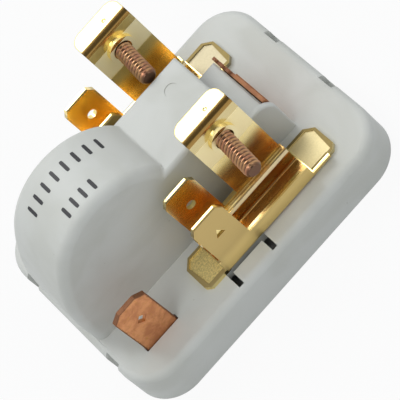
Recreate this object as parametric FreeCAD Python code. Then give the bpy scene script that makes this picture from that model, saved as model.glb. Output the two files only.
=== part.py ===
import FreeCAD, Part
import math
import os

# Compressor start relay: a moulded housing with a half-round dome over a
# thermistor disc, two folded brass line terminals with clamp screws, a copper
# start tab and three sockets that push onto the compressor's pins.
# Millimetres. +X along the long side away from the dome, -Y towards the
# terminal ledge, +Z up. The origin is the centre of the bottom face.

V = FreeCAD.Vector

# Housing, overall
base_length = 54.8
base_width = 41.5
base_height = 7.4
corner_radius = 7.0
wall_draft_deg = 1.2
skirt_wall = 1.8
deck_thickness = 1.8
deck_edge_radius = 1.4

# Dome and block that stand on the deck; their heights start from the deck
body_depth = 14.1
body_offset_y = -0.55
body_wall = 1.3
dome_axis_height = 11.3
dome_radius = 12.6
dome_end_gap = 1.3
flank_start_deg = 145
flank_radius = 26.42
dome_edge_radius = 1.8
block_right_x = 13.9
block_height = 16.1
block_edge_radius = 0.8
block_draft = 0.5
shoulder_right_x = 17.5
shoulder_height = 8.0
shoulder_edge_radius = 0.4
end_wall_right_x = 18.7
end_wall_height = 9.4
end_wall_radius = 3.0
end_wall_thickness = 1.0
end_wall_edge_radius = 0.35
mould_overlap = 1.0
room_overlap = 0.5
ejector_mark_radius = 1.2
ejector_mark_depth = 0.12
ejector_mark_x = 9.9
ejector_mark_y = 2.3

# Snap windows in the housing's short sides and the cover's hooks
hook_width = 3.2
window_depth = 0.85
window_room = 1.0
hook_thickness = 1.0
hook_barb = 0.7
right_hook_ys = (7.75, -6.05)
left_hook_ys = (10.95, -10.95)

# Bottom cover
cover_thickness = 1.8
cover_gap = 0.15
post_width = 2.4
hook_foot_z = 0.5
hook_headroom = 0.2
cradle_half_length = 4.0
cradle_rise = 1.2
cradle_gap = 0.1
pin_hole_chamfer = 0.9
rib_half_width = 0.6
rib_gap = 0.15

# Sheet metal
brass_sheet = 0.8
copper_sheet = 0.8
spring_sheet = 0.4
tight_bend = 0.15
soft_bend = 0.5

# Line terminal, front one of two
tower_setback = 3.35
terminal_setback = 12.05
tray_depth = 6.1
tray_left_x = -4.7
tray_right_x = 14.8
rim_height = 3.7
shelf_depth = 1.15
tower_left_x = 5.0
tower_right_x = 14.55
tower_height = 21.1
flap_depth = 4.1
flap_corner_radius = 1.9
flap_mark_radius = 0.7
flap_mark_depth = 0.17
flap_mark_shift = 1.2
tab_width = 6.3
tab_chamfer_x = 0.9
tab_chamfer_z = 1.4
tab_tip_bevel = 0.2
front_tab_x = -1.15
front_tab_height = 14.2
rear_tab_x = -0.9
web_height = 0.7
rear_tab_height = 15.7
tab_hole_drop = 4.8
tab_hole_radius = 0.85
dimple_depth = 0.3
tongue_back_reach = 1.4
left_tongue_end_x = -9.0
right_tongue_end_x = 20.25
tongue_root = 0.5
tongue_lip_end_x = 18.5
tongue_lip_height = 1.5
tongue_lip_depth = 1.0
tongue_corner = 1.5
tongue_toe = 0.9
dish_margin = 0.5
dish_depth = 0.25
dish_root = 0.2
leg_x = 12.5
leg_width = 3.0
leg_inset = 3.0
slot_gap = 0.15

# Clamp screw, an M3 with a slotted cheese head, loose in its collar
screw_x = 9.7
screw_height = 16.5
screw_radius = 1.5
screw_end_chamfer = 0.45
head_edge = 0.3
screw_reach = 8.9
screw_head_radius = 2.7
screw_head_height = 1.5
screw_slot_width = 0.8
screw_slot_depth = 0.6
screw_lean_deg = 4.0
rear_screw_back_off = 0.35
head_clearance = 0.25
collar_height = 0.9
collar_wall = 0.75
collar_clearance = 0.18

# Latch finger in the deck in front of each terminal
latch_slot_width = 1.0
latch_half_width = 3.75
latch_length = 2.75
latch_gap = 0.1
latch_toe = 0.75

# Copper start tab
start_tab_end_gap = 8.9
start_tab_setback = 7.4
start_tab_width = 6.6
start_tab_height = 11.3
start_tab_hole_half = 1.0
start_tab_chamfer_x = 1.6
start_tab_chamfer_z = 1.1

# Copper run contact, a blade that stands beside the shoulder
blade_wall_gap = 0.15
blade_height = 8.8
blade_hem_length = 7.4
blade_notch_radius = 0.45
blade_notch_steps = (1.2, 3.0, 4.6)
blade_sheet = 0.56
blade_edge_radius = 0.24
blade_end_gap = 0.1

# Link strips under the deck
link_drop = 2.0
link_width = 3.4
link_lap = 0.4
ring_radius = 2.5
link_gap = 0.5
post_tab_step = 5.0
post_strip_step = 3.5
post_blade_step = 2.5
post_leg_step = 1.0
post_rear_leg_step = 1.8

# Pin sockets
pin_circle_radius = 4.6
pin_centre_x = 5.0
pin_radius = 1.15
pin_clearance = 0.03
socket_wall = 0.55
socket_length = 7.5
socket_cover_gap = 0.2
socket_slit = 0.5
flange_radius = 2.3
flange_height = 0.5
clip_wall = 0.35
clip_length = 3.0
clip_gap = 0.05
clip_drop = 0.3
clip_slit = 1.0
clip_room = 0.15
pin_hole_clearance = 0.5

# Thermistor disc and its springs
pill_room = 1.55
pill_thickness = 3.0
pill_edge = 0.3
pill_drop = 0.4
strip_gap = 0.425
spring_wall_gap = 0.15
spring_foot_bend = 0.3
spring_knee_bend = 2.0
spring_touch_bend = 1.0
spring_touch_half = 1.6
spring_reach = 6.5
spring_width = 8.0
rivet_radius = 0.6
rivet_shift = 0.3
rivet_head_radius = 0.9
rivet_head_height = 0.5
rivet_head_chamfer = 0.3

# Worked out from the sizes above
deck_underside_z = base_height - deck_thickness
body_front_y = body_offset_y - body_depth / 2
body_back_y = body_offset_y + body_depth / 2
flank_cos = math.cos(math.radians(flank_start_deg))
dome_foot_x = dome_end_gap - base_length / 2
dome_axis_x = dome_foot_x + flank_radius + (flank_radius - dome_radius) * flank_cos
dome_axis_z = base_height + dome_axis_height
block_top_z = base_height + block_height
shoulder_top_z = base_height + shoulder_height
end_wall_top_z = base_height + end_wall_height
window_z0 = deck_underside_z - window_room
tower_y = body_front_y - tower_setback
tray_front_y = tower_y - tray_depth
fold_y = tower_y - shelf_depth
tongue_back_y = tower_y + tongue_back_reach
leg_y = tray_front_y + leg_inset
terminal_pitch_y = body_depth + terminal_setback
tower_top_z = base_height + tower_height
front_tab_top_z = base_height + front_tab_height
rear_tab_top_z = base_height + rear_tab_height
screw_z = base_height + screw_height
start_tab_x = start_tab_end_gap - base_length / 2
start_tab_y = body_front_y - start_tab_setback
start_tab_top_z = base_height + start_tab_height
blade_x = shoulder_right_x + blade_wall_gap
blade_top_z = base_height + blade_height
pill_radius = dome_radius - body_wall - pill_room
pill_x = dome_axis_x
pill_z = dome_axis_z - pill_drop
link_z = deck_underside_z - link_drop
link_top_z = link_z + copper_sheet
room_half = body_depth / 2 - body_wall
strip_width = room_half - pill_thickness / 2 - 2 * strip_gap
socket_bore = pin_radius + pin_clearance
socket_outer = socket_bore + socket_wall
socket_z0 = cover_thickness + socket_cover_gap
half_sheet = brass_sheet / 2
draft_slope = math.tan(math.radians(wall_draft_deg))

# How far a cutting shape runs past the surface that it opens, and how near
# to a place an edge has to lie to be picked for a fillet or a chamfer
over = 0.1
near = 0.01


def box(x0, x1, y0, y1, z0, z1):
    return Part.makeBox(x1 - x0, y1 - y0, z1 - z0, V(x0, y0, z0))


def rod(radius, length, start, direction=V(0, 0, 1)):
    return Part.makeCylinder(radius, length, start, direction)


def fuse_all(solids):
    whole = solids[0].fuse(solids[1:])
    return whole.removeSplitter()


def polygon_prism(points, z0, height):
    corners = [V(x, y, z0) for x, y in points]
    face = Part.Face(Part.makePolygon(corners + corners[:1]))
    return face.extrude(V(0, 0, height))


def edges_where(shape, test):
    return [edge for edge in shape.Edges if test(edge)]


def is_vertical(edge):
    ends = [vertex.Point for vertex in edge.Vertexes]
    if len(ends) != 2:
        return False
    step = ends[1].sub(ends[0])
    return abs(step.z) > 0.2 and math.hypot(step.x, step.y) < 1e-4


def yz_prism(points, x0, x1):
    corners = [V(x0, y, z) for y, z in points]
    face = Part.Face(Part.makePolygon(corners + corners[:1]))
    return face.extrude(V(x1 - x0, 0, 0))


def drafted_slab(inset, z0, z1):
    # Walls that lean inwards with the mould's draft, joined by a cone at each corner
    corner_x = base_length / 2 - corner_radius
    corner_y = base_width / 2 - corner_radius
    low = corner_radius - inset - z0 * draft_slope
    high = corner_radius - inset - z1 * draft_slope
    long_section = [
        (-corner_y - low, z0), (corner_y + low, z0), (corner_y + high, z1), (-corner_y - high, z1),
    ]
    solids = [yz_prism(long_section, -corner_x, corner_x)]
    for side in (-1, 1):
        end_section = [
            (side * corner_x, z0), (side * (corner_x + low), z0),
            (side * (corner_x + high), z1), (side * corner_x, z1),
        ]
        solids.append(xz_prism(end_section, -corner_y, corner_y))
    for turn in range(4):
        x = corner_x if turn in (0, 3) else -corner_x
        y = corner_y if turn in (0, 1) else -corner_y
        corner = Part.makeCone(low, high, z1 - z0, V(0, 0, 0), V(0, 0, 1), 90)
        corner.rotate(V(0, 0, 0), V(0, 0, 1), 90 * turn)
        corner.translate(V(x, y, z0))
        solids.append(corner)
    return fuse_all(solids)


def dome_flank(inset):
    # The wider arc that carries the dome's left side down to a vertical wall:
    # its first point, middle point and last point
    angle = math.radians(flank_start_deg)
    away = flank_radius - dome_radius
    centre = (dome_axis_x - away * math.cos(angle), dome_axis_z - away * math.sin(angle))
    radius = flank_radius - inset
    points = []
    for turn in (angle, (angle + math.pi) / 2, math.pi):
        points.append((centre[0] + radius * math.cos(turn), centre[1] + radius * math.sin(turn)))
    return points


def dome_solid(inset, z_foot):
    # The half-round dome with its wider left flank, as one extruded outline
    radius = dome_radius - inset
    start, middle, end = dome_flank(inset)
    y = body_front_y + inset
    right_x = dome_axis_x + radius
    crown = math.radians(flank_start_deg / 2)
    crown_point = V(dome_axis_x + radius * math.cos(crown), y, dome_axis_z + radius * math.sin(crown))
    outline = [
        Part.LineSegment(V(right_x, y, z_foot), V(end[0], y, z_foot)).toShape(),
        Part.LineSegment(V(end[0], y, z_foot), V(end[0], y, end[1])).toShape(),
        Part.Arc(V(end[0], y, end[1]), V(middle[0], y, middle[1]), V(start[0], y, start[1])).toShape(),
        Part.Arc(V(start[0], y, start[1]), crown_point, V(right_x, y, dome_axis_z)).toShape(),
        Part.LineSegment(V(right_x, y, dome_axis_z), V(right_x, y, z_foot)).toShape(),
    ]
    face = Part.Face(Part.Wire(outline))
    return face.extrude(V(0, body_depth - 2 * inset, 0))


def xz_prism(points, y0, y1):
    corners = [V(x, y0, z) for x, z in points]
    face = Part.Face(Part.makePolygon(corners + corners[:1]))
    return face.extrude(V(0, y1 - y0, 0))


def block_solid(inset, z_foot):
    left_x = dome_axis_x
    right_x = block_right_x - inset
    points = [
        (left_x, z_foot),
        (right_x + block_draft, z_foot),
        (right_x, block_top_z - inset),
        (left_x, block_top_z - inset),
    ]
    return xz_prism(points, body_front_y + inset, body_back_y - inset)


def housing_body():
    # Dome, block, shoulder and end wall, each rounded before they are joined
    dome = dome_solid(0, deck_underside_z)
    rim = edges_where(dome, lambda edge: edge.Curve.TypeId == "Part::GeomCircle")
    dome = dome.makeFillet(dome_edge_radius, rim)
    block = block_solid(0, deck_underside_z)
    top = edges_where(
        block,
        lambda edge: min(v.Point.z for v in edge.Vertexes) > block_top_z - near
        and max(v.Point.x for v in edge.Vertexes) > dome_axis_x + near,
    )
    block = block.makeFillet(block_edge_radius, top)
    shoulder = box(
        block_right_x - mould_overlap, shoulder_right_x, body_front_y + end_wall_thickness / 2, body_back_y,
        deck_underside_z, shoulder_top_z,
    )
    ridge = edges_where(shoulder, lambda edge: min(v.Point.z for v in edge.Vertexes) > shoulder_top_z - near)
    shoulder = shoulder.makeFillet(shoulder_edge_radius, ridge)
    end_wall = box(
        block_right_x - mould_overlap, end_wall_right_x, body_front_y, body_front_y + end_wall_thickness,
        deck_underside_z, end_wall_top_z,
    )
    corner = edges_where(
        end_wall,
        lambda edge: min(v.Point.z for v in edge.Vertexes) > end_wall_top_z - near
        and min(v.Point.x for v in edge.Vertexes) > end_wall_right_x - near,
    )
    end_wall = end_wall.makeFillet(end_wall_radius, corner)
    face_rim = edges_where(
        end_wall,
        lambda edge: max(v.Point.y for v in edge.Vertexes) < body_front_y + near
        and max(v.Point.x for v in edge.Vertexes) > end_wall_right_x - end_wall_radius - near
        and max(v.Point.z for v in edge.Vertexes) > base_height,
    )
    end_wall = end_wall.makeFillet(end_wall_edge_radius, face_rim)
    return fuse_all([dome, block, shoulder, end_wall])


def latch_slots(shift_y):
    # Two slots, joined under the wall's bend, free a plastic finger that holds the terminal
    slots = []
    for side in (-1, 1):
        x = front_tab_x + side * latch_half_width
        slots.append(
            box(
                x - latch_slot_width / 2, x + latch_slot_width / 2,
                tray_front_y - latch_length + shift_y, tray_front_y + latch_toe + shift_y,
                deck_underside_z - over, base_height + over,
            )
        )
    slots.append(
        box(
            front_tab_x - latch_half_width, front_tab_x + latch_half_width,
            tray_front_y - latch_gap + shift_y, tray_front_y + latch_toe + shift_y,
            deck_underside_z - over, base_height + over,
        )
    )
    return slots


def hook_places():
    # (side, centre y) of each snap window
    places = [(1, y) for y in right_hook_ys]
    places += [(-1, y) for y in left_hook_ys]
    return places


def snap_window(side, y):
    # A shallow recess at the deck's edge with a hole through the wall below it; on the
    # left side the recess runs down the whole skirt
    outer = base_length / 2 - window_z0 * draft_slope
    inner = outer - skirt_wall
    half = hook_width / 2
    foot = window_z0 if side > 0 else -over
    recess = box(outer - window_depth, base_length / 2 + over, y - half, y + half, foot, base_height + over)
    through = box(inner - over, outer, y - half, y + half, window_z0, deck_underside_z - over)
    window = recess.fuse(through)
    if side < 0:
        window = window.mirror(V(0, 0, 0), V(1, 0, 0))
    return window


def leg_slot(shift_y):
    return box(
        leg_x - leg_width / 2 - slot_gap, leg_x + leg_width / 2 + slot_gap,
        leg_y - brass_sheet - slot_gap + shift_y, leg_y + slot_gap + shift_y,
        deck_underside_z - over, base_height + over,
    )


def socket_pockets():
    # Room for each socket and its clip where they stand beside the block's wall
    radius = socket_outer + clip_gap + clip_wall + clip_room
    top_z = socket_z0 + socket_length + clip_room
    return [
        rod(radius, top_z - deck_underside_z + over, V(x, y, deck_underside_z - over))
        for x, y in pin_places().values()
    ]


def make_housing():
    shell = drafted_slab(0, 0, base_height)
    top = edges_where(shell, lambda edge: min(v.Point.z for v in edge.Vertexes) > base_height - near)
    shell = shell.makeFillet(deck_edge_radius, top)
    shell = fuse_all([shell, housing_body()])
    cavity = drafted_slab(skirt_wall, -over, deck_underside_z)
    room = fuse_all([
        cavity,
        dome_solid(body_wall, deck_underside_z - room_overlap),
        block_solid(body_wall, deck_underside_z - room_overlap),
    ] + socket_pockets())
    shell = shell.cut(room)
    cuts = latch_slots(0) + latch_slots(terminal_pitch_y)
    cuts += [snap_window(side, y) for side, y in hook_places()]
    cuts += [leg_slot(0), leg_slot(terminal_pitch_y)]
    cuts.append(
        box(
            start_tab_x - start_tab_width / 2 - slot_gap, start_tab_x + start_tab_width / 2 + slot_gap,
            start_tab_y - slot_gap, start_tab_y + copper_sheet + slot_gap,
            deck_underside_z - over, base_height + over,
        )
    )
    cuts.append(
        box(
            blade_x - slot_gap, blade_x + copper_sheet + slot_gap,
            body_front_y + end_wall_thickness, body_back_y + slot_gap,
            deck_underside_z - over, base_height + over,
        )
    )
    mark_foot = V(ejector_mark_x, ejector_mark_y, block_top_z - ejector_mark_depth)
    cuts.append(rod(ejector_mark_radius, ejector_mark_depth + over, mark_foot))
    shell = shell.cut(cuts)
    # Ribs inside the dome that locate the disc's rim
    ribs = []
    for angle_deg in (35, 90, 145):
        rib = box(
            pill_radius + rib_gap, dome_radius - body_wall / 2,
            -rib_half_width, rib_half_width, -rib_half_width, rib_half_width,
        )
        rib.rotate(V(0, 0, 0), V(0, 1, 0), -angle_deg)
        rib.translate(V(pill_x, body_offset_y, pill_z))
        ribs.append(rib)
    return fuse_all([shell] + ribs)


def make_cover():
    plate = drafted_slab(skirt_wall + cover_gap, 0, cover_thickness)
    inner_x = base_length / 2 - skirt_wall - window_z0 * draft_slope
    solids = [plate]
    for side, y in hook_places():
        half = hook_width / 2 - cover_gap
        face = inner_x - cover_gap
        top = deck_underside_z - hook_headroom
        stem = box(face - hook_thickness, face, y - half, y + half, hook_foot_z, top)
        barb = box(face - over, face + hook_barb, y - half, y + half, window_z0 + over, top - over)
        hook = stem.fuse(barb)
        if side < 0:
            hook = hook.mirror(V(0, 0, 0), V(1, 0, 0))
        solids.append(hook)
    # Posts that carry the link strips, and a cradle under the disc
    for x, y in post_places():
        half = post_width / 2
        solids.append(box(x - half, x + half, y - half, y + half, cover_thickness - over, link_z))
    cradle = box(
        pill_x - cradle_half_length, pill_x + cradle_half_length,
        body_offset_y - pill_thickness / 2, body_offset_y + pill_thickness / 2,
        cover_thickness - over, pill_z - pill_radius + cradle_rise,
    )
    seat = rod(
        pill_radius + cradle_gap, pill_thickness + 2 * over,
        V(pill_x, body_offset_y - pill_thickness / 2 - over, pill_z), V(0, 1, 0),
    )
    solids.append(cradle.cut(seat))
    cover = fuse_all(solids)
    holes = []
    for x, y in pin_places().values():
        radius = pin_radius + pin_hole_clearance
        holes.append(rod(radius, cover_thickness + 2 * over, V(x, y, -over)))
        holes.append(Part.makeCone(radius + pin_hole_chamfer, radius, pin_hole_chamfer, V(x, y, 0)))
    return cover.cut(holes)


def pin_places():
    places = {}
    for name, angle_deg in (("start", 180), ("run", 60), ("common", -60)):
        angle = math.radians(angle_deg)
        x = pin_centre_x + pin_circle_radius * math.cos(angle)
        y = body_offset_y + pin_circle_radius * math.sin(angle)
        places[name] = (x, y)
    return places


def post_places():
    run_y = pin_places()["run"][1]
    return [
        (start_tab_x, start_tab_y + post_tab_step),
        (pill_x - post_strip_step, strip_y(-1)),
        (pill_x + post_strip_step, strip_y(1)),
        (blade_x - post_blade_step, run_y),
        (leg_x, leg_y + post_leg_step),
        (leg_x, leg_y + terminal_pitch_y - post_rear_leg_step),
    ]


def strip_y(side):
    # Centre line of the link strip below the spring on each side of the disc
    return body_offset_y + side * (pill_thickness / 2 + strip_gap + strip_width / 2)


def rivet_y(side):
    # Nearer to the disc than the strip's middle, clear of the spring's bend
    return strip_y(side) - side * rivet_shift


def sheet_face(points, radii, sheet, place):
    # The section of a folded sheet: straight runs along its middle line,
    # joined by bends with the inner radii given, one for each inner point
    count = len(points)
    steps = []
    for a, b in zip(points, points[1:]):
        run = math.hypot(b[0] - a[0], b[1] - a[1])
        steps.append(((b[0] - a[0]) / run, (b[1] - a[1]) / run))
    starts = [list(points[i]) for i in range(count - 1)]
    ends = [list(points[i + 1]) for i in range(count - 1)]
    bends = []
    for i in range(1, count - 1):
        before = steps[i - 1]
        after = steps[i]
        cross = before[0] * after[1] - before[1] * after[0]
        dot = before[0] * after[0] + before[1] * after[1]
        turn = math.atan2(cross, dot)
        middle = radii[i - 1] + sheet / 2
        trim = middle * math.tan(abs(turn) / 2)
        sign = 1 if turn > 0 else -1
        ends[i - 1] = [points[i][0] - trim * before[0], points[i][1] - trim * before[1]]
        starts[i] = [points[i][0] + trim * after[0], points[i][1] + trim * after[1]]
        centre = (ends[i - 1][0] - sign * middle * before[1], ends[i - 1][1] + sign * middle * before[0])
        out = (before[1] + after[1], -before[0] - after[0])
        size = math.hypot(out[0], out[1])
        bends.append((centre, middle, sign, (sign * out[0] / size, sign * out[1] / size)))
    edges = []
    caps = []
    for side in (1, -1):
        shift = [(-side * s[1] * sheet / 2, side * s[0] * sheet / 2) for s in steps]
        runs = []
        for i in range(count - 1):
            a = (starts[i][0] + shift[i][0], starts[i][1] + shift[i][1])
            b = (ends[i][0] + shift[i][0], ends[i][1] + shift[i][1])
            runs.append((a, b))
            edges.append(Part.LineSegment(place(*a), place(*b)).toShape())
        for i, (centre, middle, sign, out) in enumerate(bends):
            radius = middle - sign * side * sheet / 2
            top = (centre[0] + radius * out[0], centre[1] + radius * out[1])
            edges.append(Part.Arc(place(*runs[i][1]), place(*top), place(*runs[i + 1][0])).toShape())
        caps.append((runs[0][0], runs[-1][1]))
    edges.append(Part.LineSegment(place(*caps[0][0]), place(*caps[1][0])).toShape())
    edges.append(Part.LineSegment(place(*caps[0][1]), place(*caps[1][1])).toShape())
    return Part.Face(Part.Wire(Part.__sortEdges__(edges)))


def folded_strip(points, radii, sheet, x0, x1):
    # A sheet whose section lies in the YZ plane, from x0 to x1
    face = sheet_face(points, radii, sheet, lambda y, z: V(x0, y, z))
    return face.extrude(V(x1 - x0, 0, 0))


def corner_cuts(x, half, top_z, chamfer_x, chamfer_z, y0, y1):
    # Takes the two top corners off an upright tab
    slope = chamfer_z / chamfer_x
    cuts = []
    for side in (-1, 1):
        corners = [
            (x + side * (half - chamfer_x - over), top_z + over * slope),
            (x + side * (half + over), top_z + over * slope),
            (x + side * (half + over), top_z - chamfer_z - over * slope),
        ]
        cuts.append(xz_prism(corners, y0 - over, y1 + over))
    return cuts


def bevel_tip(tab, top_z):
    # The tapered lead-in along a spade tab's top edge
    tip = edges_where(
        tab,
        lambda edge: min(v.Point.z for v in edge.Vertexes) > top_z - near and edge.Length > 2 * brass_sheet,
    )
    return tab.makeChamfer(tab_tip_bevel, tip)


def spade_tab(x, y_front, z0, top_z):
    tab = box(x - tab_width / 2, x + tab_width / 2, y_front, y_front + brass_sheet, z0, top_z)
    y_back = y_front + brass_sheet
    tab = tab.cut(corner_cuts(x, tab_width / 2, top_z, tab_chamfer_x, tab_chamfer_z, y_front, y_back))
    return bevel_tip(tab, top_z)


def tongue(points, dish_points):
    plate = polygon_prism(points, base_height, brass_sheet)
    dish = polygon_prism(dish_points, base_height + brass_sheet - dish_depth, dish_depth + over)
    return plate.cut(dish)


def make_line_terminal(shift_y):
    floor_z = base_height + half_sheet
    rim_z = base_height + rim_height
    front_c = tray_front_y + half_sheet
    fold_c = fold_y + half_sheet
    tower_c = tower_y + half_sheet
    shelf_c = rim_z - half_sheet
    fold_z = floor_z + brass_sheet
    tray_section = [
        (front_c, rim_z), (front_c, floor_z), (fold_c, floor_z), (fold_c, shelf_c),
        (tower_y + brass_sheet, shelf_c),
    ]
    tray = folded_strip(
        tray_section, [soft_bend, soft_bend, tight_bend], brass_sheet, tray_left_x, tray_right_x
    )
    tower_section = [
        (fold_c, fold_z), (fold_c, shelf_c), (tower_c, shelf_c),
        (tower_c, tower_top_z - half_sheet), (tower_y + flap_depth, tower_top_z - half_sheet),
    ]
    tower = folded_strip(
        tower_section, [tight_bend, tight_bend, soft_bend], brass_sheet, tower_left_x, tower_right_x
    )
    corners = edges_where(
        tower, lambda edge: is_vertical(edge) and edge.Vertexes[0].Point.y > tower_y + flap_depth - near
    )
    tower = tower.makeFillet(flap_corner_radius, corners)
    mark_x = (tower_left_x + tower_right_x) / 2 + flap_mark_shift
    mark_y = tower_y + flap_depth / 2
    mark_z = tower_top_z + flap_mark_radius - flap_mark_depth
    mark = Part.makeSphere(flap_mark_radius, V(mark_x, mark_y, mark_z))
    tower = tower.cut(mark)
    hole_z = rear_tab_top_z - tab_hole_drop
    # The hole tab and the tower rise from one shelf, joined by a low web
    shelf_section = [
        (fold_c, fold_z), (fold_c, shelf_c), (tower_c, shelf_c), (tower_c, rim_z + web_height),
    ]
    shelf = folded_strip(
        shelf_section, [tight_bend, tight_bend], brass_sheet,
        rear_tab_x - tab_width / 2, tower_left_x + brass_sheet,
    )
    rear_tab = fuse_all([spade_tab(rear_tab_x, tower_y, rim_z, rear_tab_top_z), shelf])
    hole_start = V(rear_tab_x, tower_y - over, hole_z)
    rear_tab = rear_tab.cut(rod(tab_hole_radius, brass_sheet + 2 * over, hole_start, V(0, 1, 0)))
    front_tab = spade_tab(front_tab_x, tray_front_y, rim_z - brass_sheet, front_tab_top_z)
    dimple_z = front_tab_top_z - tab_hole_drop
    side = tab_hole_radius
    dimple = [
        (front_tab_x - side, dimple_z - side), (front_tab_x + side, dimple_z - side),
        (front_tab_x, dimple_z + side),
    ]
    front_tab = front_tab.cut(xz_prism(dimple, tray_front_y - over, tray_front_y + dimple_depth))
    toe_y = tray_front_y + brass_sheet
    left = left_tongue_end_x
    back = tongue_back_y
    left_toe_y = tray_front_y + soft_bend
    left_tongue = tongue(
        [
            (tray_left_x + tongue_root, left_toe_y),
            (left + tongue_toe, left_toe_y), (left, left_toe_y + tongue_toe),
            (left, back - tongue_corner), (left + tongue_corner, back),
            (tray_left_x + tongue_root, back),
        ],
        [
            (tray_left_x - dish_root, toe_y + dish_margin), (left + tongue_toe, toe_y + dish_margin),
            (left + dish_margin, back - tongue_corner), (left + tongue_corner, back - dish_margin),
            (tray_left_x - dish_root, back - dish_margin),
        ],
    )
    right = right_tongue_end_x
    right_tongue = tongue(
        [
            (tray_right_x - tongue_root, toe_y), (right - tongue_toe, toe_y), (right, toe_y + tongue_toe),
            (right, back - tongue_corner), (right - tongue_corner, back),
            (tray_right_x - tongue_root, back),
        ],
        [
            (tray_right_x + dish_root, toe_y + dish_margin), (right - tongue_toe, toe_y + dish_margin),
            (right - dish_margin, back - tongue_corner), (right - tongue_corner, back - dish_margin),
            (tray_right_x + dish_root, back - dish_margin),
        ],
    )
    lip_section = [
        (front_c, base_height + tongue_lip_height), (front_c, floor_z), (front_c + tongue_lip_depth, floor_z),
    ]
    lip = folded_strip(lip_section, [soft_bend], brass_sheet, tray_right_x - tongue_root, tongue_lip_end_x)
    leg = box(
        leg_x - leg_width / 2, leg_x + leg_width / 2, leg_y - brass_sheet, leg_y,
        link_top_z, base_height + brass_sheet / 2,
    )
    collar_radius = screw_radius + collar_clearance
    collar = rod(
        collar_radius + collar_wall, collar_height + brass_sheet / 2,
        V(screw_x, tower_y - collar_height, screw_z), V(0, 1, 0),
    )
    terminal = fuse_all([tray, tower, rear_tab, front_tab, left_tongue, right_tongue, lip, leg, collar])
    bore_start = V(screw_x, tower_y - collar_height - over, screw_z)
    bore = rod(collar_radius, collar_height + brass_sheet + 2 * over, bore_start, V(0, 1, 0))
    terminal = terminal.cut(bore)
    terminal.translate(V(0, shift_y, 0))
    return terminal


def make_clamp_screw(shift_y, back_off):
    # Turned along +Z from the head's top, then laid along -Y
    head_z = screw_head_height
    end_z = head_z + head_clearance + brass_sheet + screw_reach
    chamfer = screw_end_chamfer
    profile = [
        (0, 0), (screw_head_radius - head_edge, 0),
        (screw_head_radius, head_edge), (screw_head_radius, head_z),
        (screw_radius, head_z), (screw_radius, end_z - chamfer),
        (screw_radius - chamfer, end_z), (0, end_z),
    ]
    corners = [V(r, 0, h) for r, h in profile]
    face = Part.Face(Part.makePolygon(corners + corners[:1]))
    screw = face.revolve(V(0, 0, 0), V(0, 0, 1), 360)
    reach = screw_head_radius + over
    half = screw_slot_width / 2
    screw = screw.cut(box(-reach, reach, -half, half, -over, screw_slot_depth))
    screw.rotate(V(0, 0, 0), V(1, 0, 0), 90)
    seat_y = tower_y + brass_sheet + head_clearance + screw_head_height + back_off
    screw.translate(V(screw_x, seat_y, screw_z))
    pivot = V(screw_x, tower_y + (brass_sheet - collar_height) / 2, screw_z)
    screw.rotate(pivot, V(0, 0, 1), -screw_lean_deg)
    screw.translate(V(0, shift_y, 0))
    return screw


def make_start_tab():
    x0 = start_tab_x - start_tab_width / 2
    x1 = start_tab_x + start_tab_width / 2
    section = [
        (start_tab_y + copper_sheet / 2, start_tab_top_z),
        (start_tab_y + copper_sheet / 2, link_z + copper_sheet / 2),
        (strip_y(-1), link_z + copper_sheet / 2),
    ]
    blade = folded_strip(section, [soft_bend], copper_sheet, x0, x1)
    for cut in corner_cuts(
        start_tab_x, start_tab_width / 2, start_tab_top_z, start_tab_chamfer_x, start_tab_chamfer_z,
        start_tab_y, start_tab_y + copper_sheet,
    ):
        blade = blade.cut(cut)
    hole_z = start_tab_top_z - tab_hole_drop
    half = start_tab_hole_half
    diamond = [
        (start_tab_x - half, hole_z), (start_tab_x, hole_z - half),
        (start_tab_x + half, hole_z), (start_tab_x, hole_z + half),
    ]
    blade = blade.cut(xz_prism(diamond, start_tab_y - over, start_tab_y + copper_sheet + over))
    pin_x, pin_y = pin_places()["start"]
    low_y = strip_y(-1) - strip_width / 2
    high_y = strip_y(-1) + strip_width / 2
    strip = box(x0, pin_x, low_y, high_y, link_z, link_top_z)
    ring = rod(ring_radius, copper_sheet, V(pin_x, pin_y, link_z))
    link = fuse_all([blade, strip, ring])
    return link.cut([socket_hole(pin_x, pin_y), rivet_hole(-1)])


def rivet_hole(side):
    # Through a link strip and the foot of the spring on it
    depth = copper_sheet + spring_sheet + 2 * over
    return rod(rivet_radius, depth, V(pill_x, rivet_y(side), link_z - over))


def socket_hole(x, y):
    return rod(socket_outer, copper_sheet + 2 * over, V(x, y, link_z - over))


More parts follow.
